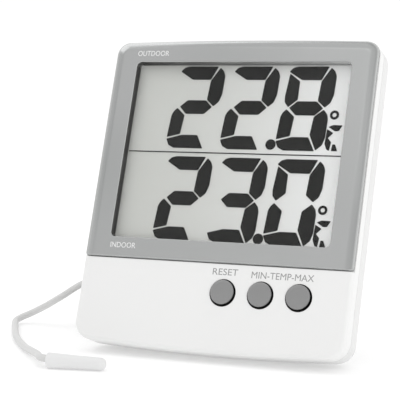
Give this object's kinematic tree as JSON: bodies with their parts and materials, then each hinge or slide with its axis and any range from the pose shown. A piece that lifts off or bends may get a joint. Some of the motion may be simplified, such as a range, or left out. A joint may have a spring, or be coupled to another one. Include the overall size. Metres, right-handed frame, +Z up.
{
  "type": "maximum minimum thermometer",
  "caption": "Leaning desk thermometer with a large two-row display, push buttons, a fold-out stand, a battery door and an outdoor probe on a long thin cord.",
  "frame": {"origin": "middle of the footprint of the case and its stand, at the level they stand on", "axes": "+Z up, display facing -Y and leaning back 20 degrees, +X to the viewer's right"},
  "size_m": [0.1449, 0.1135, 0.107],
  "materials": {
    "white_plastic": "satin moulded",
    "bezel_plastic": "glossy silver grey",
    "clear_window": "clear polished",
    "display_glass": "matt polariser on glass",
    "reflector_film": "satin film",
    "black_rubber": "matt",
    "circuit_board": "solder mask",
    "black_plastic": "matt",
    "grey_plastic": "satin moulded",
    "cell_jacket": "printed film over steel",
    "nickel_steel": "nickel plated",
    "cord_jacket": "satin flexible jacket",
    "probe_plastic": "satin moulded"
  },
  "bodies": {
    "case": {"front_shell": "white_plastic", "back_shell": "white_plastic", "lens_bezel": "bezel_plastic", "display_window": "clear_window", "lcd_glass": "display_glass", "lcd_reflector": "reflector_film", "lcd_holder": "white_plastic", "zebra_strip": "black_rubber", "circuit_board": "circuit_board", "controller_chip": "black_plastic", "quartz_crystal": "nickel_steel", "indoor_thermistor": "black_plastic", "reset_switch_body": "black_plastic", "minimum_switch_body": "black_plastic", "maximum_switch_body": "black_plastic", "unit_switch_body": "black_plastic", "battery_cell": "cell_jacket", "battery_spring": "nickel_steel", "positive_contact": "nickel_steel", "negative_contact": "nickel_steel", "case_screw_left": "nickel_steel", "case_screw_right": "nickel_steel", "board_screw_lower_left": "nickel_steel", "board_screw_lower_right": "nickel_steel", "board_screw_upper_left": "nickel_steel", "board_screw_upper_right": "nickel_steel", "strain_relief": "cord_jacket", "cord_lead": "cord_jacket", "cord_coil": "cord_jacket", "cord_run": "cord_jacket", "probe_shell": "probe_plastic", "probe_thermistor": "black_plastic"},
    "stand": {"stand": "white_plastic"},
    "battery_door": {"battery_door": "white_plastic"},
    "reset_button": {"reset_button": "grey_plastic", "reset_switch_plunger": "white_plastic"},
    "minimum_button": {"minimum_button": "grey_plastic", "minimum_switch_plunger": "white_plastic"},
    "maximum_button": {"maximum_button": "grey_plastic", "maximum_switch_plunger": "white_plastic"},
    "unit_switch": {"unit_switch_knob": "black_plastic"}
  },
  "joints": [
    {"name": "stand_fold", "type": "hinge", "parent": "case", "child": "stand", "pos_m": [0, 0.00643, 0.04543], "axis": [-1, 0, 0], "range_deg": [0, 41]},
    {"name": "battery_door_tip", "type": "hinge", "parent": "case", "child": "battery_door", "pos_m": [0, 0.01617, 0.06636], "axis": [-1, 0, 0], "range_deg": [0, 90]},
    {"name": "reset_press", "type": "slide", "parent": "case", "child": "reset_button", "axis": [0, 0.9397, -0.342], "range_m": [0, 0.0008], "stiffness_N_per_m": 1200, "springref_m": -0.0005},
    {"name": "minimum_press", "type": "slide", "parent": "case", "child": "minimum_button", "axis": [0, 0.9397, -0.342], "range_m": [0, 0.0008], "stiffness_N_per_m": 1200, "springref_m": -0.0005},
    {"name": "maximum_press", "type": "slide", "parent": "case", "child": "maximum_button", "axis": [0, 0.9397, -0.342], "range_m": [0, 0.0008], "stiffness_N_per_m": 1200, "springref_m": -0.0005},
    {"name": "unit_switch_slide", "type": "slide", "parent": "case", "child": "unit_switch", "axis": [1, 0, 0], "range_m": [0, 0.002]}
  ]
}
